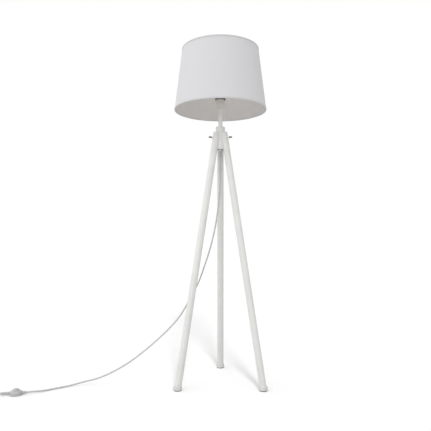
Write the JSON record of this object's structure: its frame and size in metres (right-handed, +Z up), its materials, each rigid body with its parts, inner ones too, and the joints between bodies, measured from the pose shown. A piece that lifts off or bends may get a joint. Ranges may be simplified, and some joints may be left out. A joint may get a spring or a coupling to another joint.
{
  "type": "tripod floor lamp",
  "caption": "Tripod floor lamp: leaning dowel legs bolted to a turned hub, a slim stem with a tapered drum shade, and a cord with a foot switch and plug.",
  "frame": {"origin": "on the floor, where the stem's axis meets it, midway between the feet", "axes": "+Z up along the stem, +X to the right and +Y away from a viewer who stands in front with one leg at the back; the cord runs towards -X"},
  "size_m": [1.2644, 0.5733, 1.5133],
  "materials": {
    "white_wood": "satin off-white paint on turned wood",
    "white_metal": "satin off-white paint",
    "foot_plastic": "moulded, light grey",
    "pad_rubber": "dark, matt",
    "dark_steel": "dark nickel finish",
    "zinc_steel": "bright zinc plating",
    "holder_plastic": "warm off-white",
    "ring_plastic": "black",
    "holder_ceramic": "unglazed white",
    "contact_brass": "plain",
    "bulb_metal": "plain spun cap",
    "bulb_plastic": "white",
    "bulb_globe": "frosted white",
    "shade_fabric": "fine plain weave, off-white with a cool cast",
    "hem_fabric": "folded strip, a little lighter than the cover",
    "shade_liner": "warm white film",
    "switch_plastic": "light grey-white",
    "cord_pvc": "light grey-white"
  },
  "bodies": {
    "frame": {"bottom_nut": "zinc_steel", "bottom_washer": "zinc_steel", "bulb_base": "bulb_plastic", "bulb_cap": "bulb_metal", "bulb_globe": "bulb_globe", "centre_contact": "contact_brass", "cord_coil": "cord_pvc", "cord_gland": "switch_plastic", "cord_lower": "cord_pvc", "cord_tail": "cord_pvc", "cord_upper": "cord_pvc", "core_sleeve": "zinc_steel", "fitter_ring": "white_metal", "foot_cap_back": "foot_plastic", "foot_cap_front_left": "foot_plastic", "foot_cap_front_right": "foot_plastic", "foot_pad_back": "pad_rubber", "foot_pad_front_left": "pad_rubber", "foot_pad_front_right": "pad_rubber", "hem_bottom": "hem_fabric", "hem_top": "hem_fabric", "holder_cap": "holder_plastic", "holder_insert": "holder_ceramic", "holder_shell": "holder_plastic", "holder_thread": "contact_brass", "hub": "white_wood", "inner_cord": "cord_pvc", "leg_back": "white_wood", "leg_front_left": "white_wood", "leg_front_right": "white_wood", "plug_body": "switch_plastic", "plug_boot": "switch_plastic", "plug_pin_left": "zinc_steel", "plug_pin_right": "zinc_steel", "shade_cover": "shade_fabric", "shade_liner": "shade_liner", "shade_ring_lower": "ring_plastic", "shade_ring_upper": "ring_plastic", "spider_arm_back": "white_metal", "spider_arm_front_left": "white_metal", "spider_arm_front_right": "white_metal", "stem_sleeve": "white_metal", "stud_back": "dark_steel", "stud_front_left": "dark_steel", "stud_front_right": "dark_steel", "switch_base": "switch_plastic", "switch_boot_in": "switch_plastic", "switch_boot_out": "switch_plastic", "switch_cover": "switch_plastic", "switch_spring": "zinc_steel", "tie_tube": "zinc_steel", "wire_ring_bottom": "white_metal", "wire_ring_top": "white_metal"},
    "saddle_body_front_left": {"saddle_front_left": "white_metal"},
    "saddle_body_front_right": {"saddle_front_right": "white_metal"},
    "saddle_body_back": {"saddle_back": "white_metal"},
    "nut_body_front_left": {"thumb_nut_front_left": "dark_steel"},
    "nut_body_front_right": {"thumb_nut_front_right": "dark_steel"},
    "nut_body_back": {"thumb_nut_back": "dark_steel"},
    "button_body": {"switch_button": "switch_plastic"}
  },
  "joints": [
    {"name": "nut_travel_front_left", "type": "slide", "parent": "frame", "child": "saddle_body_front_left", "axis": [-0.866, -0.5, 0], "range_m": [0, 0.005]},
    {"name": "nut_turn_front_left", "type": "hinge", "parent": "saddle_body_front_left", "child": "nut_body_front_left", "pos_m": [-0.04625, -0.0267, 1.107], "axis": [-0.866, -0.5, 0], "range_deg": [0, 1801]},
    {"name": "nut_travel_front_right", "type": "slide", "parent": "frame", "child": "saddle_body_front_right", "axis": [0.866, -0.5, 0], "range_m": [0, 0.005]},
    {"name": "nut_turn_front_right", "type": "hinge", "parent": "saddle_body_front_right", "child": "nut_body_front_right", "pos_m": [0.04625, -0.0267, 1.107], "axis": [0.866, -0.5, 0], "range_deg": [0, 1801]},
    {"name": "nut_travel_back", "type": "slide", "parent": "frame", "child": "saddle_body_back", "axis": [0, 1, 0], "range_m": [0, 0.005]},
    {"name": "nut_turn_back", "type": "hinge", "parent": "saddle_body_back", "child": "nut_body_back", "pos_m": [0, 0.0534, 1.107], "axis": [0, 1, 0], "range_deg": [0, 1801]},
    {"name": "button_press", "type": "slide", "parent": "frame", "child": "button_body", "axis": [0, 0, -1], "range_m": [0, 0.003], "stiffness_N_per_m": 300, "springref_m": -0.002, "deforming": ["switch_spring"]}
  ],
  "couplings": [
    {"joint": "nut_turn_front_left", "follows": "nut_travel_front_left", "rad_per_m": 6283.2},
    {"joint": "nut_turn_front_right", "follows": "nut_travel_front_right", "rad_per_m": 6283.2},
    {"joint": "nut_turn_back", "follows": "nut_travel_back", "rad_per_m": 6283.2}
  ]
}
